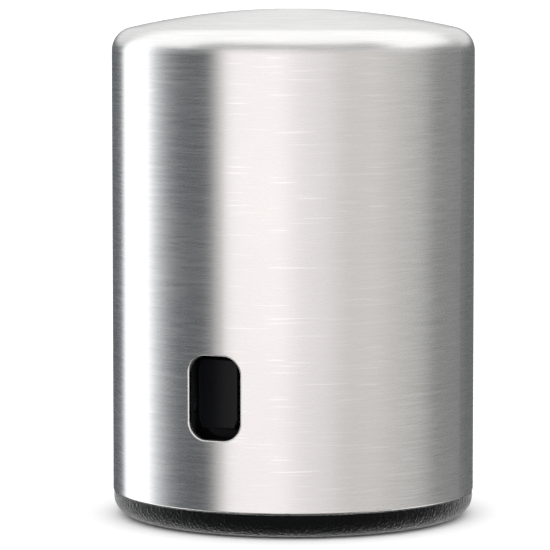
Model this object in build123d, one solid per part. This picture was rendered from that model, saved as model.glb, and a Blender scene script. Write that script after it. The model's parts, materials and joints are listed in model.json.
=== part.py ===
from build123d import *
import math
import os

# Press-on stopper for a sparkling-wine bottle, with a side release button.
# Millimetres. The origin is the centre of the face it stands on, +Z is up, and
# the button faces -Y. The open mouth is underneath. Written to parts/NODE.step.

# ---- Overall ----
BODY_R = 23.0  # outside of the steel shell
BODY_H = 64.4  # table to the crown of the dome
SHELL_WALL = 0.6
SHOULDER_R = 3.0  # round between the wall and the dome
DOME_R = 92.0  # shallow crown

# ---- The bottle finish that it fits ----
COLLAR_R = 15.75  # widest ring of the finish
LIP_R = 14.4
BOTTLE_BORE_R = 9.0
COLLAR_DROP = 19.5  # collar's underside to the rim

# ---- Clearances ----
SHELL_GAP = 0.2  # housing to shell
SEAM_GAP = 0.1  # shell edge above the base ring
SEAT_GAP = 0.05  # faces that lie close without touching
SLIDE_GAP = 0.2  # pieces that slide past each other
FIT_GAP = 0.1  # pieces pushed into each other
SCREW_GAP = 0.15  # screw shanks in clearance holes
THREAD_GAP = 0.05  # screw shanks in their threads
PIN_GAP = 0.03

# ---- Base ring and foot pad ----
PAD_PROUD = 0.15  # foot pad below the ring
RING_TOP = 3.1  # top of the ring's visible band
RING_INSET = 0.1  # band inside the shell's outside
FOOT_ROUND = 2.3
MOUTH_GAP = 1.05  # mouth round the bottle's collar
SLEEVE_WALL = 1.4
SLEEVE_TOP = 10.0
MOUTH_LEAD = 1.0  # lead-in at the mouth
BEAD_Z = 7.6
BEAD_H = 1.2
BEAD_PROUD = 0.3
PAD_DEPTH = 0.9
PAD_W = 1.5
PAD_FROM_SLEEVE = 0.6  # pad's inside from the sleeve's outside

# ---- Latch base and backing plate ----
LATCH_Z = 15.0  # where latch base and housing meet
SPLIT_GAP = 0.02
BACKING_T = 1.0
BACKING_W = 1.8

# ---- Window and button ----
WINDOW_W = 6.9
WINDOW_H = 10.4
WINDOW_Z = 17.2
WINDOW_ROUND = 2.3
WINDOW_EDGE = 0.18  # rolled edge round the window
BUTTON_W = 5.4
BUTTON_H = 8.7
BUTTON_Z = 17.65
BUTTON_RECESS = 1.15  # button face inside the shell's outside
BUTTON_DEPTH = 2.7
BUTTON_ROUND = 0.9
BUTTON_CUT_X = 0.5
BUTTON_CUT_Z = 1.15
BUTTON_EDGE = 0.3
BUTTON_GRIP = 0.9  # button front wall, ahead of the latch plate's tongue
POCKET_PAST = 0.35  # button pocket past the window, all round
SKIRT_T = 1.2  # button's skirt, which closes the window's gap from behind
SKIRT_GAP = 0.15  # skirt in the pocket
TONGUE_W = 3.6  # latch plate's tongue, inside the button
TONGUE_L = 1.3
PIN_FROM_BACK = 0.9
BUTTON_PIN_R = 0.6
BUTTON_PIN_H = 4.6

# ---- Latch plate and its springs ----
LATCH_T = 1.6
LATCH_TRAVEL = 2.0
LATCH_HOLE_GAP = 0.35  # open latch hole round the collar
LATCH_LEAD = 1.0
SPRING_FROM_HOLE = 1.3  # latch spring's side out from the latch hole
CHANNEL_WALL = 1.1  # housing outside the latch plate's channel
EAR_T = 1.0
EAR_W = 2.4
EAR_H = 3.0
EAR_Y = -5.0  # ear face that the spring pushes on
LATCH_SPRING_R = 1.2
LATCH_SPRING_WIRE = 0.35
LATCH_SPRING_L = 10.4
LATCH_SPRING_TURNS = 9
SPRING_POCKET_GAP = 0.25

# ---- Housing ----
NECK_GAP = 0.65  # housing bore round the collar
GUIDE_GAP = 1.0  # seal bore round the bottle's lip
CONE_Z = 24.5  # bore narrows from the collar to the lip
CONE_H = 1.5
CHAMBER_STEP = 1.6  # spring chamber wider than the seal bore
WAIST_DEPTH = 3.2
WAIST_Z = 26.5
WAIST_END = 4.0  # full-width band at the housing's top
RIB_T = 1.2
RIB_COUNT = 6
RIB_ROOT = 0.5  # ribs and bosses run into the waist wall
BOSS_R = 2.6

# ---- Screws ----
BASE_SCREW_R = 0.85
BASE_SCREW_HEAD_R = 1.4
BASE_SCREW_HEAD_H = 1.5
BASE_SCREW_L = 18.0
BASE_SCREW_EDGE = 2.15  # screw axis in from the housing's outside
BASE_SCREW_COUNT = 4
CASE_SCREW_R = 1.0
CASE_SCREW_HEAD_R = 1.6
CASE_SCREW_HEAD_H = 1.3
CASE_SCREW_L = 20.0
CASE_SCREW_TIP = 2.4  # thread end above the cap's underside
CASE_SCREW_EDGE = 3.1
CASE_SCREW_ANGLES = (90, 248, 292)
HEAD_GAP = 0.1

# ---- Plunger ----
SEAL_TRAVEL = 4.0
SEAL_PRELOAD = 1.75  # how far a bottle's rim lifts the seal
SEAL_T = 3.0
SEAL_SIDE_GAP = 0.5
SEAL_LIP_R = 0.6
SEAL_EDGE = 0.4
PLUG_GAP = 0.8  # plug to the bottle's bore
PLUG_L = 8.0
PLUG_TAPER = 0.6
PLUG_RIB_R = 0.9
PLUG_RIBS = (0.35, 0.7)  # their places, as shares of the plug's length
BACKING_DISC_T = 0.6
BACKING_DISC_IN = 0.9
CARRIER_SPIGOT = 2.0
CARRIER_FLANGE = 1.75
CARRIER_BOSS_R = 4.5
STOP_GAP = 0.1  # boss to stud at the end of the travel
SEAL_WASHER_R = 6.5
SEAL_WASHER_T = 1.0
SEAL_SCREW_R = 2.0
SEAL_SCREW_HEAD_R = 3.4
SEAL_SCREW_HEAD_H = 1.9
SEAL_SCREW_L = 16.6

# ---- Main spring, seat and cap ----
SPRING_R = 10.5
SPRING_WIRE = 1.4
SPRING_TURNS = 5.5
SEAT_T = 0.6
SEAT_W = 3.4
CAP_DEPTH = 10.5  # cap's underside below the crown
CAP_T = 4.5
CAP_EDGE_GAP = 0.6  # cap inside the shell
CAP_SPIGOT = 1.5
CAP_RECESS = 2.6  # spring recess above the cap's underside
CAP_RECESS_GAP = 0.2
HUB_R = 6.5
SUPPORT_W = 2.0
SUPPORT_IN = 4.0  # support wall's outside in from the shell's outside
SUPPORT_CLEAR = 0.15
ORING_R = 0.85
STUD_R = 2.0
STUD_FLANGE_R = 5.0
STUD_FLANGE_T = 1.0
STUD_WELD = 0.2
STUD_TIP = 0.8  # stud past the nut
STUD_WASHER_R = 4.5
STUD_WASHER_T = 0.8
NUT_AF = 7.0
NUT_H = 3.2

# ---- Worked out from the above ----
SHELL_IN_R = BODY_R - SHELL_WALL
CASE_R = SHELL_IN_R - SHELL_GAP
MOUTH_R = COLLAR_R + MOUTH_GAP
SLEEVE_R = MOUTH_R + SLEEVE_WALL
NECK_R = COLLAR_R + NECK_GAP
GUIDE_R = LIP_R + GUIDE_GAP
CHAMBER_R = GUIDE_R + CHAMBER_STEP
CHANNEL_R = CASE_R - CHANNEL_WALL
LATCH_BOTTOM = LATCH_Z + SEAT_GAP
LATCH_TOP = LATCH_BOTTOM + LATCH_T
CHANNEL_TOP = LATCH_TOP + SLIDE_GAP / 2
LATCH_R = CHANNEL_R - LATCH_TRAVEL / 2 - SLIDE_GAP
LATCH_HOLE_R = COLLAR_R + LATCH_HOLE_GAP
LATCH_SPRING_X = LATCH_HOLE_R + LATCH_SPRING_R + SPRING_FROM_HOLE
LATCH_SPRING_Z = CHANNEL_TOP + LATCH_SPRING_R + SPRING_POCKET_GAP
RIM_Z = LATCH_TOP + COLLAR_DROP
SEAL_Z = RIM_Z - SEAL_PRELOAD
SEAL_TOP = SEAL_Z + SEAL_T
DISC_TOP = SEAL_TOP + BACKING_DISC_T
LEDGE_Z = DISC_TOP + CARRIER_SPIGOT
CARRIER_TOP = LEDGE_Z + SEAT_GAP + CARRIER_FLANGE
CAP_Z = BODY_H - CAP_DEPTH
RECESS_TOP = CAP_Z + CAP_RECESS
RECESS_R = SPRING_R + SEAT_W / 2 + CAP_RECESS_GAP
SPRING_TOP = RECESS_TOP - SEAT_T
NUT_TOP = RECESS_TOP - STUD_WASHER_T
STUD_TIP_Z = NUT_TOP - NUT_H - STUD_TIP
DOME_Z = BODY_H - DOME_R
SHELL_TOP_Z = DOME_Z + math.sqrt(
    (DOME_R - SHOULDER_R) ** 2 - (BODY_R - SHOULDER_R) ** 2
)
HUB_TOP = BODY_H - SHELL_WALL - STUD_WELD - STUD_FLANGE_T
BUTTON_BACK_Y = -(BODY_R - BUTTON_RECESS - BUTTON_DEPTH)
PIN_Y = BUTTON_BACK_Y - PIN_FROM_BACK
POCKET_W = WINDOW_W + 2 * POCKET_PAST
POCKET_Z0 = WINDOW_Z - WINDOW_H / 2 - POCKET_PAST
POCKET_Z1 = WINDOW_Z + WINDOW_H / 2 + POCKET_PAST
TONGUE_TIP_Y = -LATCH_TRAVEL / 2 - LATCH_R
TONGUE_ROOT_Y = TONGUE_TIP_Y + TONGUE_L
BASE_HEAD_Z = RING_TOP + 2 * HEAD_GAP + BASE_SCREW_HEAD_H
CASE_HEAD_Z = CAP_Z + CASE_SCREW_TIP - CASE_SCREW_L

UP = (Align.CENTER, Align.CENTER, Align.MIN)
OVER = 1.0  # cuts run this far past the face they leave


def disc(radius, z0, z1, x=0.0, y=0.0):
    return Pos(x, y, z0) * Cylinder(radius, z1 - z0, align=UP)


def tube(r_out, r_in, z0, z1):
    return disc(r_out, z0, z1) - disc(r_in, z0 - OVER, z1 + OVER)


def block(x0, x1, y0, y1, z0, z1):
    centre = Pos((x0 + x1) / 2, (y0 + y1) / 2, (z0 + z1) / 2)
    return centre * Box(x1 - x0, y1 - y0, z1 - z0)


def turned(points):
    """Solid of revolution about Z from an outline of (radius, z) points."""
    outline = Plane.XZ * make_face(Polyline(*points, close=True))
    return revolve(outline, Axis.Z)


def ring_torus(radius, section_r, z):
    return Pos(0, 0, z) * Torus(radius, section_r)


def on_circle(radius, angle_deg):
    angle = math.radians(angle_deg)
    return radius * math.cos(angle), radius * math.sin(angle)


def cross_slot(head_r, z):
    """Cross recess, cut upwards into a screw head whose face is at z."""
    long, wide, deep = 1.2 * head_r, 0.3 * head_r, 0.4 * head_r
    bars = Box(long, wide, 2 * deep) + Box(wide, long, 2 * deep)
    return Pos(0, 0, z) * bars


def screw(head_r, head_h, shank_r, length, z):
    """Screw whose head's underside is at z, with its shank upwards."""
    head = disc(head_r, z - head_h, z)
    rim = head.edges().group_by(Axis.Z)[0]
    head = fillet(rim, head_h / 3)
    point = Pos(0, 0, z + length - shank_r) * Cone(shank_r, shank_r / 3, shank_r, align=UP)
    shank = disc(shank_r, z, z + length - shank_r) + point
    return head + shank - cross_slot(head_r, z - head_h)


def coil(radius, wire, turns, length):
    """Coil spring of mean radius along +Z from 0 to length."""
    rise = length - wire
    path = Helix(rise / turns, rise, radius)
    section = Plane(origin=path @ 0, z_dir=path % 0) * Circle(wire / 2)
    return Pos(0, 0, wire / 2) * sweep(section, path=path, is_frenet=True)


def dome_outline(inset):
    """Half section of the shell's outside, moved in by inset, as a wire."""
    r = BODY_R - inset
    round_r = SHOULDER_R - inset
    crown_r = DOME_R - inset
    lean = (BODY_R - SHOULDER_R) / (DOME_R - SHOULDER_R)
    tilt = math.asin(lean)
    shoulder = (BODY_R - SHOULDER_R, SHELL_TOP_Z)
    half = (math.pi / 2 - tilt) / 2
    mid = (shoulder[0] + round_r * math.cos(half), shoulder[1] + round_r * math.sin(half))
    tangent = (crown_r * lean, DOME_Z + crown_r * math.cos(tilt))
    crown_mid = (crown_r * math.sin(tilt / 2), DOME_Z + crown_r * math.cos(tilt / 2))
    low = (r, RING_TOP + SEAM_GAP)
    shoulder_low = (r, SHELL_TOP_Z)
    crown = (0, DOME_Z + crown_r)
    edges = [
        Line(low, shoulder_low),
        ThreePointArc(shoulder_low, mid, tangent),
        ThreePointArc(tangent, crown_mid, crown),
    ]
    return edges, low, crown


def outer_shell():
    outside, low_out, crown_out = dome_outline(0)
    inside, low_in, crown_in = dome_outline(SHELL_WALL)
    joins = [Line(crown_out, crown_in), Line(low_in, low_out)]
    section = Plane.XZ * make_face(outside + inside + joins)
    shell = revolve(section, Axis.Z)
    rolled = shell.edges().group_by(Axis.Z)[0].sort_by(SortBy.LENGTH)[-1]
    shell = fillet(rolled, SHELL_WALL / 3)
    hole = RectangleRounded(WINDOW_W, WINDOW_H, WINDOW_ROUND)
    cutter = Pos(0, -BODY_R / 2, WINDOW_Z) * (Rot(90, 0, 0) * extrude(hole, BODY_R))
    shell = shell - cutter
    rim = []
    for edge in shell.edges():
        middle = edge @ 0.5
        outside = math.hypot(middle.X, middle.Y) > BODY_R - SHELL_WALL / 2
        near_x = abs(middle.X) < WINDOW_W and middle.Y < 0
        near_z = abs(middle.Z - WINDOW_Z) < WINDOW_H
        if outside and near_x and near_z and edge.length < 2 * WINDOW_H:
            rim.append(edge)
    return fillet(rim, WINDOW_EDGE)


def base_ring():
    band_r = BODY_R - RING_INSET
    bottom = PAD_PROUD
    ring = turned([
        (MOUTH_R, bottom + MOUTH_LEAD),
        (MOUTH_R + MOUTH_LEAD, bottom),
        (band_r, bottom),
        (band_r, RING_TOP),
        (SLEEVE_R, RING_TOP),
        (SLEEVE_R, BEAD_Z - BEAD_H / 2),
        (SLEEVE_R + BEAD_PROUD, BEAD_Z),
        (SLEEVE_R, BEAD_Z + BEAD_H / 2),
        (SLEEVE_R, SLEEVE_TOP - BEAD_PROUD),
        (SLEEVE_R - BEAD_PROUD, SLEEVE_TOP),
        (MOUTH_R, SLEEVE_TOP),
    ])
    foot = ring.edges().filter_by(GeomType.CIRCLE).group_by(Axis.Z)[0].sort_by(SortBy.RADIUS)[-1]
    ring = fillet(foot, FOOT_ROUND)
    pad_in = SLEEVE_R + PAD_FROM_SLEEVE
    return ring - tube(pad_in + PAD_W, pad_in, bottom - OVER, PAD_DEPTH)


def foot_pad():
    pad_in = SLEEVE_R + PAD_FROM_SLEEVE + SEAT_GAP
    pad = tube(pad_in + PAD_W - 2 * SEAT_GAP, pad_in, 0, PAD_DEPTH)
    low = pad.edges().group_by(Axis.Z)[0]
    return fillet(low, PAD_PROUD / 2)


def button_pocket(z0, z1):
    return block(-POCKET_W / 2, POCKET_W / 2, -BODY_R, -COLLAR_R, z0, z1)


def base_screw_places():
    places = []
    for index in range(BASE_SCREW_COUNT):
        angle = 360 * (index + 0.5) / BASE_SCREW_COUNT
        places.append(on_circle(CASE_R - BASE_SCREW_EDGE, angle))
    return places


def case_screw_places():
    return [on_circle(CASE_R - CASE_SCREW_EDGE, angle) for angle in CASE_SCREW_ANGLES]


def latch_base():
    over_sleeve = SLEEVE_R + FIT_GAP
    bore = MOUTH_R + SLIDE_GAP
    groove = SLEEVE_R + BEAD_PROUD + FIT_GAP
    half = BEAD_H / 2 + FIT_GAP
    plate_r = MOUTH_R + FIT_GAP + BACKING_W + FIT_GAP
    plate_z = LATCH_Z - BACKING_T
    body = turned([
        (over_sleeve, RING_TOP + BEAD_PROUD),
        (over_sleeve + BEAD_PROUD, RING_TOP),
        (CASE_R, RING_TOP),
        (CASE_R, LATCH_Z - SPLIT_GAP),
        (plate_r, LATCH_Z - SPLIT_GAP),
        (plate_r, plate_z),
        (bore, plate_z),
        (bore, SLEEVE_TOP + FIT_GAP),
        (over_sleeve, SLEEVE_TOP + FIT_GAP),
        (over_sleeve, BEAD_Z + half),
        (groove, BEAD_Z),
        (over_sleeve, BEAD_Z - half),
    ])
    body = body - button_pocket(POCKET_Z0, LATCH_Z + OVER)
    for x, y in base_screw_places():
        body = body - disc(BASE_SCREW_HEAD_R + HEAD_GAP, RING_TOP - OVER, BASE_HEAD_Z, x, y)
        body = body - disc(BASE_SCREW_R + SCREW_GAP, BASE_HEAD_Z - OVER, LATCH_Z + OVER, x, y)
    return body


def backing_plate():
    inside = MOUTH_R + FIT_GAP
    plate = tube(inside + BACKING_W, inside, LATCH_Z - BACKING_T, LATCH_Z)
    return plate - button_pocket(LATCH_Z - BACKING_T - OVER, LATCH_Z + OVER)


def base_screws():
    one = screw(BASE_SCREW_HEAD_R, BASE_SCREW_HEAD_H, BASE_SCREW_R, BASE_SCREW_L, BASE_HEAD_Z)
    return Compound([Pos(x, y) * one for x, y in base_screw_places()])


def spring_pocket(side):
    reach = LATCH_SPRING_R + SPRING_POCKET_GAP
    x = side * LATCH_SPRING_X
    y0 = EAR_Y - EAR_T - SEAT_GAP - SLIDE_GAP
    y1 = EAR_Y + LATCH_SPRING_L
    return block(x - reach, x + reach, y0, y1, LATCH_Z, LATCH_SPRING_Z + reach)


def case_ribs():
    inside = CASE_R - WAIST_DEPTH - RIB_ROOT
    top = CAP_Z - WAIST_END
    ribs = Part()
    for x, y in case_screw_places():
        ribs = ribs + disc(BOSS_R, WAIST_Z, top, x, y)
    for index in range(RIB_COUNT):
        rib = block(inside, CASE_R + OVER, -RIB_T / 2, RIB_T / 2, WAIST_Z, top)
        ribs = ribs + Rot(0, 0, 360 * (index + 0.5) / RIB_COUNT) * rib
    return ribs & tube(CASE_R, inside, WAIST_Z, top)


def housing():
    waist = CASE_R - WAIST_DEPTH
    top = CAP_Z - SPLIT_GAP
    body = turned([
        (CHANNEL_R, LATCH_Z),
        (CASE_R, LATCH_Z),
        (CASE_R, WAIST_Z),
        (waist, WAIST_Z),
        (waist, CAP_Z - WAIST_END),
        (CASE_R, CAP_Z - WAIST_END),
        (CASE_R, top),
        (CHAMBER_R, top),
        (CHAMBER_R, LEDGE_Z),
        (GUIDE_R, LEDGE_Z),
        (GUIDE_R, CONE_Z + CONE_H),
        (NECK_R, CONE_Z),
        (NECK_R, CHANNEL_TOP),
        (CHANNEL_R, CHANNEL_TOP),
    ])
    body = body + case_ribs()
    body = body - button_pocket(LATCH_Z - OVER, POCKET_Z1)
    body = body - spring_pocket(1) - spring_pocket(-1)
    for x, y in base_screw_places():
        tip = BASE_HEAD_Z + BASE_SCREW_L + SCREW_GAP
        body = body - disc(BASE_SCREW_R + THREAD_GAP, LATCH_Z - OVER, tip, x, y)
    for x, y in case_screw_places():
        body = body - disc(CASE_SCREW_HEAD_R + HEAD_GAP, LATCH_Z, CASE_HEAD_Z, x, y)
        body = body - disc(CASE_SCREW_R + SCREW_GAP, CASE_HEAD_Z - OVER, CAP_Z + OVER, x, y)
    return body


def housing_screws():
    one = screw(CASE_SCREW_HEAD_R, CASE_SCREW_HEAD_H, CASE_SCREW_R, CASE_SCREW_L, CASE_HEAD_Z)
    return Compound([Pos(x, y) * one for x, y in case_screw_places()])


def latch_plate():
    """Sliding plate with a round hole, two spring ears and a tongue for the button."""
    low, high = LATCH_BOTTOM - OVER, LATCH_TOP + OVER
    hole_y = -LATCH_TRAVEL
    plate = disc(LATCH_R, LATCH_BOTTOM, LATCH_TOP, 0, -LATCH_TRAVEL / 2)
    for side in (-1, 1):
        near, far = sorted((side * TONGUE_W / 2, side * LATCH_R))
        plate = plate - block(near, far, TONGUE_TIP_Y - OVER, TONGUE_ROOT_Y, low, high)
        x0, x1 = side * LATCH_SPRING_X - EAR_W / 2, side * LATCH_SPRING_X + EAR_W / 2
        ear_top = LATCH_TOP + EAR_H
        plate = plate + block(x0, x1, EAR_Y - EAR_T, EAR_Y, LATCH_BOTTOM, ear_top)
    plate = plate - disc(LATCH_HOLE_R, low, high, 0, hole_y)
    lead = Cone(LATCH_HOLE_R + LATCH_LEAD, LATCH_HOLE_R, LATCH_LEAD, align=UP)
    plate = plate - Pos(0, hole_y, LATCH_BOTTOM) * lead
    slot_r = BASE_SCREW_R + SCREW_GAP + FIT_GAP
    for x, y in base_screw_places():
        slot = disc(slot_r, low, high, x, y) + disc(slot_r, low, high, x, y - LATCH_TRAVEL)
        slot = slot + block(x - slot_r, x + slot_r, y - LATCH_TRAVEL, y, low, high)
        plate = plate - slot
    return plate - disc(BUTTON_PIN_R + PIN_GAP, low, high, 0, PIN_Y)


def button_face():
    half_w, half_h = BUTTON_W / 2, BUTTON_H / 2
    outline = Polyline(
        (-half_w, half_h),
        (-half_w, -half_h + BUTTON_CUT_Z),
        (-half_w + BUTTON_CUT_X, -half_h),
        (half_w - BUTTON_CUT_X, -half_h),
        (half_w, -half_h + BUTTON_CUT_Z),
        (half_w, half_h),
        close=True,
    )
    face = make_face(outline)
    corners = face.vertices().group_by(Axis.Y)[-1]
    return fillet(corners, BUTTON_ROUND)


def release_button():
    """Push button with a skirt behind the window, slotted for the plate and its tongue."""
    face_r = BODY_R - BUTTON_RECESS
    front = Rot(90, 0, 0) * extrude(button_face(), BODY_R)
    button = (Pos(0, 0, BUTTON_Z) * front) & disc(face_r, 0, CAP_Z)
    button = button & block(-BUTTON_W, BUTTON_W, -BODY_R, BUTTON_BACK_Y, 0, CAP_Z)
    edges = [edge for edge in button.edges() if (edge @ 0.5).Y < BUTTON_BACK_Y - 2 * BUTTON_GRIP]
    rim = [edge for edge in edges if abs((edge @ 0).Y - (edge @ 1).Y) < BUTTON_GRIP / 2]
    button = fillet(rim, BUTTON_EDGE)
    skirt_w = POCKET_W / 2 - SKIRT_GAP
    button = button + block(-skirt_w, skirt_w, BUTTON_BACK_Y - SKIRT_T, BUTTON_BACK_Y,
                            POCKET_Z0 + SKIRT_GAP, POCKET_Z1 - SKIRT_GAP)
    low, high = LATCH_BOTTOM - SEAT_GAP, LATCH_TOP + SEAT_GAP
    half = TONGUE_W / 2 + SEAT_GAP
    tongue = block(-half, half, BUTTON_GRIP - face_r, 0, low, high)
    web = block(-BUTTON_W, BUTTON_W, TONGUE_ROOT_Y - SEAT_GAP, 0, low, high)
    pin_z0 = (LATCH_BOTTOM + LATCH_TOP - BUTTON_PIN_H) / 2 - PIN_GAP
    hole = disc(BUTTON_PIN_R + PIN_GAP, pin_z0, pin_z0 + BUTTON_PIN_H + 2 * PIN_GAP, 0, PIN_Y)
    return button - tongue - web - hole


def button_pin():
    z0 = (LATCH_BOTTOM + LATCH_TOP - BUTTON_PIN_H) / 2
    return disc(BUTTON_PIN_R, z0, z0 + BUTTON_PIN_H, 0, PIN_Y)


def latch_spring(side):
    wound = coil(LATCH_SPRING_R - LATCH_SPRING_WIRE / 2, LATCH_SPRING_WIRE,
                 LATCH_SPRING_TURNS, LATCH_SPRING_L)
    lying = Rot(-90, 0, 0) * wound
    return Pos(side * LATCH_SPRING_X, EAR_Y, LATCH_SPRING_Z) * lying


def seal():
    disc_r = GUIDE_R - SEAL_SIDE_GAP
    plug_r = BOTTLE_BORE_R - PLUG_GAP
    bottom = SEAL_Z - PLUG_L
    body = turned([
        (SEAL_SCREW_R + THREAD_GAP, bottom),
        (plug_r - PLUG_TAPER, bottom),
        (plug_r, SEAL_Z),
        (disc_r - SEAL_EDGE, SEAL_Z),
        (disc_r, SEAL_Z + SEAL_EDGE),
        (disc_r, SEAL_TOP),
        (SEAL_SCREW_R + THREAD_GAP, SEAL_TOP),
    ])
    for share in PLUG_RIBS:
        radius = plug_r - PLUG_TAPER * share - PLUG_RIB_R / 3
        body = body + ring_torus(radius, PLUG_RIB_R, SEAL_Z - PLUG_L * share)
    lip = (BOTTLE_BORE_R + LIP_R) / 2
    return body + ring_torus(lip, SEAL_LIP_R, SEAL_Z)


def seal_backing_disc():
    radius = GUIDE_R - SEAL_SIDE_GAP - BACKING_DISC_IN
    return tube(radius, SEAL_SCREW_R + THREAD_GAP, SEAL_TOP, DISC_TOP)


def seal_washer():
    top = SEAL_Z - PLUG_L
    return tube(SEAL_WASHER_R, SEAL_SCREW_R + THREAD_GAP, top - SEAL_WASHER_T, top)


def seal_screw():
    head_z = SEAL_Z - PLUG_L - SEAL_WASHER_T
    return screw(SEAL_SCREW_HEAD_R, SEAL_SCREW_HEAD_H, SEAL_SCREW_R, SEAL_SCREW_L, head_z)


def seal_carrier():
    tip = SEAL_Z - PLUG_L - SEAL_WASHER_T + SEAL_SCREW_L + SCREW_GAP
    flange_r = CHAMBER_R - SLIDE_GAP
    boss_top = STUD_TIP_Z - STOP_GAP - SEAL_TRAVEL
    body = turned([
        (0, DISC_TOP),
        (GUIDE_R - SLIDE_GAP, DISC_TOP),
        (GUIDE_R - SLIDE_GAP, LEDGE_Z + SEAT_GAP),
        (flange_r, LEDGE_Z + SEAT_GAP),
        (flange_r, CARRIER_TOP),
        (CARRIER_BOSS_R, CARRIER_TOP),
        (CARRIER_BOSS_R, boss_top),
        (0, boss_top),
    ])
    return body - disc(SEAL_SCREW_R + THREAD_GAP, DISC_TOP - OVER, tip)


def main_spring():
    wound = coil(SPRING_R, SPRING_WIRE, SPRING_TURNS, SPRING_TOP - CARRIER_TOP)
    return Pos(0, 0, CARRIER_TOP) * wound


def spring_seat():
    return tube(SPRING_R + SEAT_W / 2, SPRING_R - SEAT_W / 2, SPRING_TOP, RECESS_TOP)


def spring_cap():
    edge_r = SHELL_IN_R - CAP_EDGE_GAP
    spigot_r = CHAMBER_R - SLIDE_GAP
    support_r = BODY_R - SUPPORT_IN
    dome_in = DOME_R - SHELL_WALL
    support_top = DOME_Z + math.sqrt(dome_in**2 - support_r**2) - SUPPORT_CLEAR
    groove_r = SHELL_IN_R - SEAT_GAP - 2 * ORING_R - SEAT_GAP
    groove_z = CAP_Z + CAP_T / 2
    half = ORING_R + SEAT_GAP
    cap = turned([
        (STUD_R + SCREW_GAP, RECESS_TOP),
        (RECESS_R, RECESS_TOP),
        (RECESS_R, CAP_Z - CAP_SPIGOT),
        (spigot_r, CAP_Z - CAP_SPIGOT),
        (spigot_r, CAP_Z),
        (edge_r, CAP_Z),
        (edge_r, groove_z - half),
        (groove_r, groove_z - half),
        (groove_r, groove_z + half),
        (edge_r, groove_z + half),
        (edge_r, CAP_Z + CAP_T),
        (support_r, CAP_Z + CAP_T),
        (support_r, support_top),
        (support_r - SUPPORT_W, support_top),
        (support_r - SUPPORT_W, CAP_Z + CAP_T),
        (HUB_R, CAP_Z + CAP_T),
        (HUB_R, HUB_TOP),
        (STUD_R + SCREW_GAP, HUB_TOP),
    ])
    for x, y in case_screw_places():
        tip = CAP_Z + CASE_SCREW_TIP + SCREW_GAP
        cap = cap - disc(CASE_SCREW_R + THREAD_GAP, CAP_Z - CAP_SPIGOT - OVER, tip, x, y)
    return cap


def cap_o_ring():
    return ring_torus(SHELL_IN_R - SEAT_GAP - ORING_R, ORING_R, CAP_Z + CAP_T / 2)


def shell_stud():
    flange = disc(STUD_FLANGE_R, HUB_TOP, HUB_TOP + STUD_FLANGE_T)
    return flange + disc(STUD_R, STUD_TIP_Z, HUB_TOP)


def stud_washer():
    return tube(STUD_WASHER_R, STUD_R + SCREW_GAP, NUT_TOP, RECESS_TOP)


def stud_nut():
    blank = extrude(RegularPolygon(NUT_AF / 2, 6, major_radius=False), NUT_H)
    nut = Pos(0, 0, NUT_TOP - NUT_H) * blank
    return nut - disc(STUD_R + THREAD_GAP, 0, BODY_H)


NODES = {
    "outer_shell": outer_shell,
    "shell_stud": shell_stud,
    "stud_washer": stud_washer,
    "stud_nut": stud_nut,
    "spring_cap": spring_cap,
    "cap_o_ring": cap_o_ring,
    "spring_seat": spring_seat,
    "main_spring": main_spring,
    "housing": housing,
    "housing_screws": housing_screws,
    "latch_base": latch_base,
    "backing_plate": backing_plate,
    "base_screws": base_screws,
    "base_ring": base_ring,
    "foot_pad": foot_pad,
    "latch_plate": latch_plate,
    "release_button": release_button,
    "button_pin": button_pin,
    "latch_spring_left": lambda: latch_spring(-1),
    "latch_spring_right": lambda: latch_spring(1),
    "seal_carrier": seal_carrier,
    "seal_backing_disc": seal_backing_disc,
    "seal": seal,
    "seal_washer": seal_washer,
    "seal_screw": seal_screw,
}

os.makedirs("parts", exist_ok=True)
for node, make in NODES.items():
    shape = make()
    if isinstance(shape, ShapeList):
        shape = Compound(list(shape))
    shape.label = node
    export_step(shape, f"parts/{node}.step")
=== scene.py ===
import json
import math

import bmesh
import bpy
from mathutils import Matrix, Vector


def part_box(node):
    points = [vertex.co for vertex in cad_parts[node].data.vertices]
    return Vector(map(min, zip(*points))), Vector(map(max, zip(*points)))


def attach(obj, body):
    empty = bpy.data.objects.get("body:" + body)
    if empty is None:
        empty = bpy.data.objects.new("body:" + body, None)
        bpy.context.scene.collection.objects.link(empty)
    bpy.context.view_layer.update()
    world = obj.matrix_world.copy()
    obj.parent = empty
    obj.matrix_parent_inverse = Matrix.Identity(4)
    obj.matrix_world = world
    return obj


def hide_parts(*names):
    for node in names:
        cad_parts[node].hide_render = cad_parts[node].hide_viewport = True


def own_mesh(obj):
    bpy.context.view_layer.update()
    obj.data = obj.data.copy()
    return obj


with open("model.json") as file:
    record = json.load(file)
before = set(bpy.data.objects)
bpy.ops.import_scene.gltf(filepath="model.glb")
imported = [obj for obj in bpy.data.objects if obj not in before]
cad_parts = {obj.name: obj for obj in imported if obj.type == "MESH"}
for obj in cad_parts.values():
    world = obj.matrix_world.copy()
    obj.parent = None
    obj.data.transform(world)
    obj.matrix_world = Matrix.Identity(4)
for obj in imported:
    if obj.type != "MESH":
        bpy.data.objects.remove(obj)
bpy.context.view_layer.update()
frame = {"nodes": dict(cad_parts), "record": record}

# A press-on stopper for sparkling wine: brushed steel can, black base ring,
# recessed release button. Metres, +Z up, the button faces -Y.

nodes = frame["nodes"]
scene = bpy.context.scene

# ---- Camera, at the photograph's viewing angle ----
VIEW_AZIMUTH = math.radians(25.05)  # the window sits this far left of the view's centre
CAMERA_DISTANCE = 0.4431
CAMERA_HEIGHT = 0.0695
TARGET_HEIGHT = 0.0305
TARGET_RIGHT = -0.00232
LENS_MM = 228.3
SENSOR_MM = 36.0
CLIP_START = 0.01

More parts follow.
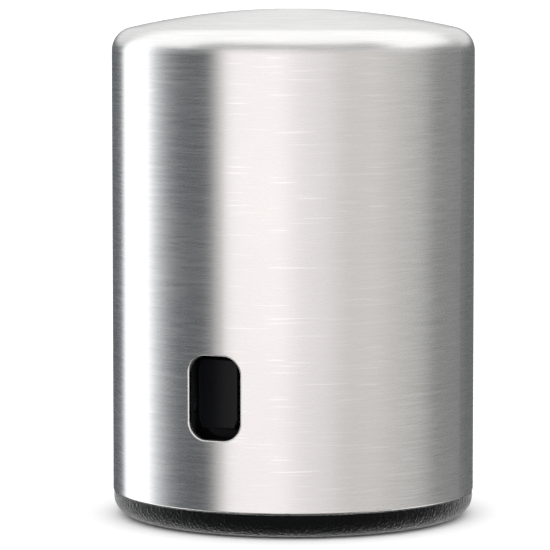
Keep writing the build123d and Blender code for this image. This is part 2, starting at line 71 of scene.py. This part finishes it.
# ---- Studio ----
LIGHT_CENTRE_Z = 0.032  # the softboxes' angles are in degrees, counted from here
KEY = {"azimuth": -15, "elevation": 25, "distance": 0.9, "side": 0.8, "watts": 1.6}
FILL = {"azimuth": 60, "elevation": 20, "distance": 0.9, "side": 0.6, "watts": 0.5}
PALE_WORLD = 1.3  # radiance for every ray that isn't a mirrored one
FLOOR_SIZE = 60
FLOOR_GREY = 0.93

# ---- The walls that the steel mirrors: azimuth from the camera's in degrees, radiance, tint ----
STEEL_SEES = (
    (-180, 0.11, (0.82, 0.92, 1.0)),
    (-139, 0.11, (0.82, 0.92, 1.0)),
    (-134, 1.65, (0.95, 0.98, 1.0)),
    (-107, 1.6, (0.97, 0.99, 1.0)),
    (-98, 0.75, (0.95, 0.98, 1.0)),
    (-86, 0.26, (0.88, 0.95, 1.0)),
    (-76, 0.09, (0.75, 0.90, 1.0)),
    (-55, 0.09, (0.88, 0.94, 1.0)),
    (-49, 0.56, (1.0, 0.98, 0.985)),
    (-41, 1.36, (1.0, 0.955, 0.95)),
    (-8, 1.42, (1.0, 0.95, 0.945)),
    (6, 1.14, (1.0, 0.95, 0.95)),
    (20, 1.05, (1.0, 0.95, 0.95)),
    (34, 0.82, (1.0, 0.96, 0.925)),
    (52, 0.82, (1.0, 0.965, 0.935)),
    (72, 0.61, (1.0, 0.985, 0.95)),
    (88, 0.47, (1.0, 1.0, 0.96)),
    (102, 0.26, (1.0, 1.0, 0.98)),
    (128, 0.24, (0.98, 1.0, 1.0)),
    (142, 0.14, (0.94, 0.98, 1.0)),
    (180, 0.12, (0.90, 0.96, 1.0)),
)
STEEL_SEES_SCALE = 2.0  # ramp colours are kept under 1 and scaled back up

# Radiance of the zones that cover those walls.
OVERHEAD = 1.3
FRONT_SHADE = 0.5  # strip above the front walls, the dark line under the shoulder
BACKDROP = 0.84
FLOOR_GLOW = 0.25
FLOOR_FRONT = 0.015
FLOOR_SIDE = 1.7
FLOOR_BACK = 0.5

# Where a zone begins to change and where it has changed, in degrees: azimuth
# away from the camera's to either hand, elevation, or depth below the horizon.
BACK_STARTS = (120, 150)
FRONT_ENDS = (70, 110)
BESIDE_STARTS = (55, 80)
SHADE_ENDS_ASIDE = (52, 78)
FLOOR_SIDE_STARTS = (66, 100)
BACKDROP_RISES = (4, 11)
OVERHEAD_RISES = (24, 44)
BESIDE_RISES = (10, 28)
SHADE_RISES = (11, 20)
SHADE_ENDS_ABOVE = (40, 54)
FLOOR_SINKS = (16, 30)
FLOOR_SIDE_SINKS = (24, 38)
GLOW_SINKS = (70, 82)


def toward(azimuth, distance, height):
    """Point at an azimuth counted from the camera's, positive to the camera's right."""
    angle = VIEW_AZIMUTH + azimuth
    return Vector((distance * math.sin(angle), -distance * math.cos(angle), height))


def aim(obj, target):
    direction = Vector(target) - obj.location
    obj.rotation_euler = direction.to_track_quat("-Z", "Y").to_euler()


def add_camera():
    data = bpy.data.cameras.new("camera")
    data.lens = LENS_MM
    data.sensor_width = SENSOR_MM
    data.clip_start = CLIP_START
    camera = bpy.data.objects.new("camera", data)
    scene.collection.objects.link(camera)
    camera.location = toward(0, CAMERA_DISTANCE, CAMERA_HEIGHT)
    right = Vector((math.cos(VIEW_AZIMUTH), math.sin(VIEW_AZIMUTH), 0))
    aim(camera, right * TARGET_RIGHT + Vector((0, 0, TARGET_HEIGHT)))
    scene.camera = camera


def softbox(name, azimuth, elevation, distance, side, watts):
    """Square area light that softens the diffuse shading; the steel mirrors the painted walls."""
    data = bpy.data.lights.new(name, "AREA")
    data.shape = "RECTANGLE"
    data.size = side
    data.size_y = side
    data.energy = watts
    light = bpy.data.objects.new(name, data)
    scene.collection.objects.link(light)
    rise = math.radians(elevation)
    light.location = toward(math.radians(azimuth), distance * math.cos(rise),
                            LIGHT_CENTRE_Z + distance * math.sin(rise))
    aim(light, (0, 0, LIGHT_CENTRE_Z))
    light.visible_camera = False
    light.visible_glossy = False


# ---- Node helpers ----
class Tree:
    """Short calls for building a node tree."""

    def __init__(self, tree):
        self.tree = tree

    def add(self, kind):
        return self.tree.nodes.new(kind)

    def link(self, source, target):
        if isinstance(source, (int, float)):
            target.default_value = source
        else:
            self.tree.links.new(source, target)

    def math(self, operation, a, b=0.0):
        node = self.add("ShaderNodeMath")
        node.operation = operation
        self.link(a, node.inputs[0])
        self.link(b, node.inputs[1])
        return node.outputs[0]

    def split(self, vector):
        node = self.add("ShaderNodeSeparateXYZ")
        self.link(vector, node.inputs[0])
        return node.outputs[0], node.outputs[1], node.outputs[2]

    def step(self, source, change):
        """Smooth step from 0 at the first value of change to 1 at the second."""
        node = self.add("ShaderNodeMapRange")
        node.interpolation_type = "SMOOTHSTEP"
        self.link(source, node.inputs["Value"])
        node.inputs["From Min"].default_value = change[0]
        node.inputs["From Max"].default_value = change[1]
        return node.outputs["Result"]

    def blend(self, fac, first, second):
        node = self.add("ShaderNodeMix")
        node.data_type = "RGBA"
        self.link(fac, node.inputs[0])
        for colour, target in ((first, node.inputs[6]), (second, node.inputs[7])):
            if isinstance(colour, tuple):
                target.default_value = (*colour, 1)
            else:
                self.link(colour, target)
        return node.outputs[2]


class Finish(Tree):
    """A material with one Principled shader, and its textures."""

    def __init__(self, name):
        self.material = bpy.data.materials.new(name)
        self.material.use_nodes = True
        super().__init__(self.material.node_tree)
        self.shader = self.tree.nodes["Principled BSDF"]

    def value(self, socket, amount):
        self.shader.inputs[socket].default_value = amount

    def to(self, socket, source):
        self.link(source, self.shader.inputs[socket])

    def position(self):
        return self.add("ShaderNodeTexCoord").outputs["Object"]

    def join(self, x, y, z):
        node = self.add("ShaderNodeCombineXYZ")
        for source, target in zip((x, y, z), node.inputs):
            self.link(source, target)
        return node.outputs[0]

    def noise(self, vector, scale, detail=2.0, rough=0.5):
        node = self.add("ShaderNodeTexNoise")
        self.link(vector, node.inputs["Vector"])
        node.inputs["Scale"].default_value = scale
        node.inputs["Detail"].default_value = detail
        node.inputs["Roughness"].default_value = rough
        return node.outputs["Fac"]

    def spread(self, fac, low, high, from_low=0.3, from_high=0.7):
        """Stretches the middle of a noise to run from low to high."""
        node = self.add("ShaderNodeMapRange")
        self.link(fac, node.inputs["Value"])
        node.inputs["From Min"].default_value = from_low
        node.inputs["From Max"].default_value = from_high
        node.inputs["To Min"].default_value = low
        node.inputs["To Max"].default_value = high
        return node.outputs["Result"]

    def bump(self, height, distance, strength=1.0):
        node = self.add("ShaderNodeBump")
        self.link(height, node.inputs["Height"])
        node.inputs["Distance"].default_value = distance
        node.inputs["Strength"].default_value = strength
        return node.outputs[0]


# ---- World: pale for every surface, painted walls for what mirrors ----
def world_angles(world):
    """Azimuth from the camera's side, and elevation, in degrees."""
    place = world.add("ShaderNodeTexCoord")
    turn = world.add("ShaderNodeVectorRotate")
    turn.rotation_type = "Z_AXIS"
    turn.inputs["Angle"].default_value = -VIEW_AZIMUTH
    world.link(place.outputs["Generated"], turn.inputs["Vector"])
    x, y, z = world.split(turn.outputs[0])
    azimuth = world.math("ARCTAN2", x, world.math("MULTIPLY", y, -1.0))
    elevation = world.math("ARCSINE", z)
    return world.math("DEGREES", azimuth), world.math("DEGREES", elevation)


def wall_ramp(world, azimuth):
    """Radiance of the walls round the object, by azimuth alone."""
    ramp = world.add("ShaderNodeValToRGB")
    stops = ramp.color_ramp.elements
    while len(stops) < len(STEEL_SEES):
        stops.new(0.5)
    for stop, (angle, radiance, tint) in zip(stops, STEEL_SEES):
        level = radiance / STEEL_SEES_SCALE
        stop.position = (angle + 180) / 360
        stop.color = (*[level * part for part in tint], 1)
    world.link(world.math("DIVIDE", world.math("ADD", azimuth, 180.0), 360.0), ramp.inputs[0])
    return ramp.outputs[0]


def painted_walls(world):
    """What the steel mirrors: panels round the object, white overhead, a dark floor in front."""
    azimuth, elevation = world_angles(world)
    aside = world.math("ABSOLUTE", azimuth)
    below = world.math("MULTIPLY", elevation, -1.0)

    def both(first, second):
        return world.math("MULTIPLY", first, second)

    def paint(colour, where, radiance):
        level = radiance / STEEL_SEES_SCALE
        return world.blend(where, colour, (level, level, level))

    back = world.step(aside, BACK_STARTS)
    front = world.math("SUBTRACT", 1.0, world.step(aside, FRONT_ENDS))
    colour = wall_ramp(world, azimuth)
    colour = paint(colour, both(back, world.step(elevation, BACKDROP_RISES)), BACKDROP)
    colour = paint(colour, world.step(elevation, OVERHEAD_RISES), OVERHEAD)
    beside = world.math("SUBTRACT", world.step(aside, BESIDE_STARTS), back)
    colour = paint(colour, both(beside, world.step(elevation, BESIDE_RISES)), OVERHEAD)
    ahead = world.math("SUBTRACT", 1.0, world.step(aside, SHADE_ENDS_ASIDE))
    strip = world.math("SUBTRACT", world.step(elevation, SHADE_RISES),
                       world.step(elevation, SHADE_ENDS_ABOVE))
    colour = paint(colour, both(ahead, strip), FRONT_SHADE)
    low = world.step(below, FLOOR_SINKS)
    side = both(world.step(aside, FLOOR_SIDE_STARTS), world.step(below, FLOOR_SIDE_SINKS))
    colour = paint(colour, both(front, low), FLOOR_FRONT)
    colour = paint(colour, side, FLOOR_SIDE)
    colour = paint(colour, both(back, low), FLOOR_BACK)
    return paint(colour, world.step(below, GLOW_SINKS), FLOOR_GLOW)


def add_world():
    scene.world = bpy.data.worlds.new("studio")
    scene.world.use_nodes = True
    world = Tree(scene.world.node_tree)
    world.tree.nodes.clear()
    out = world.add("ShaderNodeOutputWorld")
    mix = world.add("ShaderNodeMixShader")
    rays = world.add("ShaderNodeLightPath")
    pale = world.add("ShaderNodeBackground")
    mirrored = world.add("ShaderNodeBackground")
    pale.inputs["Color"].default_value = (1, 1, 1, 1)
    pale.inputs["Strength"].default_value = PALE_WORLD
    mirrored.inputs["Strength"].default_value = STEEL_SEES_SCALE
    world.link(painted_walls(world), mirrored.inputs["Color"])
    world.link(rays.outputs["Is Glossy Ray"], mix.inputs[0])
    world.link(pale.outputs[0], mix.inputs[1])
    world.link(mirrored.outputs[0], mix.inputs[2])
    world.link(mix.outputs[0], out.inputs["Surface"])


def add_floor():
    bpy.ops.mesh.primitive_plane_add(size=FLOOR_SIZE)
    floor = bpy.context.object
    floor.name = "floor"
    floor.visible_glossy = False
    floor.visible_shadow = False
    m = Finish("pale_floor")
    m.value("Base Color", (FLOOR_GREY, FLOOR_GREY, FLOOR_GREY, 1))
    m.value("Roughness", 1.0)
    m.value("Specular IOR Level", 0.0)
    floor.data.materials.append(m.material)


# ---- Materials: colours are linear, scales are per metre, bump depths are metres ----
def brushed_shell():
    """Stainless can, brushed round its axis: the strokes follow circles on wall and dome."""
    m = Finish("brushed_shell")
    x, y, z = m.split(m.position())
    around = m.math("SQRT", m.math("ADD", m.math("MULTIPLY", x, x), m.math("MULTIPLY", y, y)))
    along = m.math("SUBTRACT", z, around)

    def strokes(length_scale, width_scale, detail):
        vector = m.join(m.math("MULTIPLY", x, length_scale), m.math("MULTIPLY", y, length_scale),
                        m.math("MULTIPLY", along, width_scale))
        return m.noise(vector, scale=1.0, detail=detail)

    fine = strokes(length_scale=260, width_scale=6200, detail=2.0)
    coarse = strokes(length_scale=70, width_scale=2600, detail=1.0)
    streaks = strokes(length_scale=170, width_scale=4600, detail=0.0)
    dashes = m.spread(streaks, 0, 1, from_low=0.68, from_high=0.80)
    clouds = m.noise(m.position(), scale=60, detail=3.0)
    tone = m.math("ADD", m.math("MULTIPLY", fine, 0.7), m.math("MULTIPLY", coarse, 0.3))
    drawn = m.blend(m.spread(tone, 0, 1), (0.725, 0.72, 0.715), (0.815, 0.81, 0.805))
    m.to("Base Color", m.blend(dashes, drawn, (0.835, 0.83, 0.825)))
    rough = m.math("ADD", m.spread(tone, 0.245, 0.305), m.spread(clouds, -0.012, 0.012))
    m.to("Roughness", m.math("SUBTRACT", rough, m.math("MULTIPLY", dashes, 0.012)))
    m.value("Metallic", 1.0)
    m.value("Anisotropic", 0.72)
    m.value("Anisotropic Rotation", 0.25)
    tangent = m.add("ShaderNodeTangent")
    tangent.direction_type = "RADIAL"
    tangent.axis = "Z"
    m.to("Tangent", tangent.outputs[0])
    m.to("Normal", m.bump(tone, distance=0.000004, strength=0.6))
    return m.material


def moulded(name, dark, light, roughness, grain_scale, grain_depth, level, sheen=0.0):
    """Black moulded plastic with a fine spark-eroded grain."""
    m = Finish(name)
    place = m.position()
    clouds = m.noise(place, scale=110, detail=3.0)
    grain = m.noise(place, grain_scale, detail=3.0, rough=0.6)
    m.to("Base Color", m.blend(m.spread(clouds, 0, 1), dark, light))
    m.to("Roughness", m.math("ADD", m.spread(clouds, *roughness), m.spread(grain, -0.04, 0.04)))
    m.value("IOR", 1.5)
    m.value("Specular IOR Level", level)
    m.value("Sheen Weight", sheen)
    m.value("Sheen Roughness", 0.25)
    m.to("Normal", m.bump(grain, grain_depth))
    return m.material


def sheet_steel():
    """Rolled sheet with tumbled edges: fine random scratches and soft mottling."""
    m = Finish("plate_steel")
    place = m.position()
    x, y, z = m.split(place)
    lengthwise = m.join(m.math("MULTIPLY", x, 120), m.math("MULTIPLY", y, 3200), z)
    rolled = m.noise(lengthwise, scale=1.0, detail=2.0)
    mottle = m.noise(place, scale=420, detail=3.0)
    m.to("Base Color", m.blend(m.spread(mottle, 0, 1), (0.50, 0.50, 0.51), (0.66, 0.66, 0.67)))
    m.to("Roughness", m.math("ADD", m.spread(rolled, 0.26, 0.38), m.spread(mottle, -0.03, 0.03)))
    m.value("Metallic", 1.0)
    m.to("Normal", m.bump(rolled, distance=0.000004, strength=0.5))
    return m.material


def plated(name, dark, light, roughness):
    """Plated or drawn steel for screws, pins and wire."""
    m = Finish(name)
    place = m.position()
    mottle = m.noise(place, scale=900, detail=3.0)
    wear = m.noise(place, scale=240, detail=2.0)
    m.to("Base Color", m.blend(m.spread(wear, 0, 1), dark, light))
    m.to("Roughness", m.spread(mottle, *roughness))
    m.value("Metallic", 1.0)
    m.to("Normal", m.bump(mottle, distance=0.000005, strength=0.5))
    return m.material


def elastomer(name, dark, light, roughness, sheen):
    """Rubber or silicone: dull, with dusty mottling and a soft bloom at grazing angles."""
    m = Finish(name)
    place = m.position()
    dust = m.noise(place, scale=260, detail=4.0, rough=0.6)
    pores = m.noise(place, scale=3200, detail=2.0)
    m.to("Base Color", m.blend(m.spread(dust, 0, 1), dark, light))
    m.to("Roughness", m.spread(dust, *roughness))
    m.value("IOR", 1.45)
    m.value("Sheen Weight", sheen)
    m.value("Sheen Roughness", 0.5)
    m.to("Normal", m.bump(pores, distance=0.00001, strength=0.6))
    return m.material


def make_materials():
    """One finish for each material slot, by the slot's name."""
    return {
        "brushed_shell": brushed_shell(),
        "plate_steel": sheet_steel(),
        "steel_hardware": plated("steel_hardware", (0.60, 0.60, 0.62), (0.74, 0.74, 0.75),
                                 roughness=(0.14, 0.26)),
        "spring_steel": plated("spring_steel", (0.42, 0.42, 0.44), (0.58, 0.58, 0.60),
                               roughness=(0.22, 0.36)),
        "black_moulding": moulded("black_moulding", (0.012, 0.012, 0.013), (0.022, 0.022, 0.024),
                                  roughness=(0.45, 0.58), grain_scale=2600, grain_depth=0.00002,
                                  level=0.4),
        "black_ring": moulded("black_ring", (0.0010, 0.0012, 0.0014), (0.0022, 0.0025, 0.0028),
                              roughness=(0.20, 0.28), grain_scale=2600, grain_depth=0.00025,
                              level=0.06, sheen=0.8),
        "black_gloss": moulded("black_gloss", (0.0012, 0.0013, 0.0018), (0.0022, 0.0024, 0.0030),
                               roughness=(0.16, 0.22), grain_scale=1500, grain_depth=0.000004,
                               level=0.14),
        "black_rubber": elastomer("black_rubber", (0.012, 0.012, 0.013), (0.030, 0.030, 0.032),
                                  roughness=(0.62, 0.78), sheen=0.1),
        "seal_silicone": elastomer("seal_silicone", (0.030, 0.030, 0.033), (0.052, 0.052, 0.056),
                                   roughness=(0.46, 0.60), sheen=0.15),
    }


def finish_nodes(materials):
    for part in frame["record"]["subparts"]:
        mesh = nodes[part["node"]].data
        mesh.materials.clear()
        mesh.materials.append(materials[part["material_slot"]])


# ---- Springs, wound with closed ends, hung on the cap ----
SECTION_POINTS = 14
POINTS_PER_TURN = 48
CLOSED_TURNS = 1.0
GROUND_SHARE = 0.16  # of the wire's thickness, ground off each end
MAIN_WIRE = 0.0014
MAIN_TURNS = 7.5
LATCH_WIRE = 0.00035
LATCH_TURNS = 11


def rise_at(turn, turns, wire, length):
    """Height of the wire's centre: closed end turns, even pitch between them."""
    low, high = wire / 2, length - wire / 2
    closed_rise = wire * CLOSED_TURNS * 0.5
    if turn < CLOSED_TURNS:
        return low + closed_rise * (turn / CLOSED_TURNS) ** 2
    if turn > turns - CLOSED_TURNS:
        return high - closed_rise * ((turns - turn) / CLOSED_TURNS) ** 2
    share = (turn - CLOSED_TURNS) / (turns - 2 * CLOSED_TURNS)
    return low + closed_rise + share * (high - low - 2 * closed_rise)


def wire_section(build, angle, height, mean_radius, wire, length):
    """Ring of points round the wire at one angle of the coil, ground flat at the ends."""
    out = Vector((math.cos(angle), math.sin(angle), 0))
    ground = wire * GROUND_SHARE
    ring = []
    for index in range(SECTION_POINTS):
        around = 2 * math.pi * index / SECTION_POINTS
        point = out * (mean_radius + wire / 2 * math.cos(around))
        point.z = height + wire / 2 * math.sin(around)
        point.z = min(max(point.z, ground), length - ground)
        ring.append(build.verts.new(point))
    return ring


def coil(name, mean_radius, wire, turns, length):
    """Coil spring along +Z from 0 to length, its ends ground flat."""
    mesh = bpy.data.meshes.new(name)
    build = bmesh.new()
    steps = int(turns * POINTS_PER_TURN)
    rings = []
    for step in range(steps + 1):
        turn = turns * step / steps
        height = rise_at(turn, turns, wire, length)
        rings.append(wire_section(build, 2 * math.pi * turn, height, mean_radius, wire, length))
    for first, second in zip(rings, rings[1:]):
        for index in range(SECTION_POINTS):
            after = (index + 1) % SECTION_POINTS
            build.faces.new((first[index], first[after], second[after], second[index]))
    build.faces.new(rings[0])
    build.faces.new(list(reversed(rings[-1])))
    bmesh.ops.recalc_face_normals(build, faces=build.faces)
    for face in build.faces:
        face.smooth = len(face.verts) == 4
    build.to_mesh(mesh)
    build.free()
    obj = bpy.data.objects.new(name, mesh)
    scene.collection.objects.link(obj)
    return obj


def place_spring(obj, node, axis, material, turn):
    """Stands a coil where the CAD spring is, hangs it on the cap and hides the CAD spring."""
    low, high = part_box(node)
    middle = (low + high) / 2
    length = (high - low).dot(axis)
    obj.data.transform(turn)
    foot = middle - axis * (length / 2)
    obj.data.transform(Matrix.Translation(foot))
    obj.data.materials.append(material)
    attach(obj, "cap")
    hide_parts(node)
    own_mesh(obj)


def add_springs(material):
    low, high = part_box("main_spring")
    mean = (high.x - low.x) / 2 - MAIN_WIRE / 2
    main = coil("main_spring_wound", mean, MAIN_WIRE, MAIN_TURNS, high.z - low.z)
    place_spring(main, "main_spring", Vector((0, 0, 1)), material, Matrix.Identity(4))
    lie = Matrix.Rotation(math.radians(-90), 4, "X")
    for side in ("left", "right"):
        node = "latch_spring_" + side
        low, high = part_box(node)
        mean = (high.x - low.x) / 2 - LATCH_WIRE / 2
        small = coil(node + "_wound", mean, LATCH_WIRE, LATCH_TURNS, high.y - low.y)
        place_spring(small, node, Vector((0, 1, 0)), material, lie)


add_camera()
add_world()
softbox("key", **KEY)
softbox("fill", **FILL)
add_floor()
materials = make_materials()
finish_nodes(materials)
add_springs(materials["spring_steel"])
scene.view_settings.view_transform = "Standard"
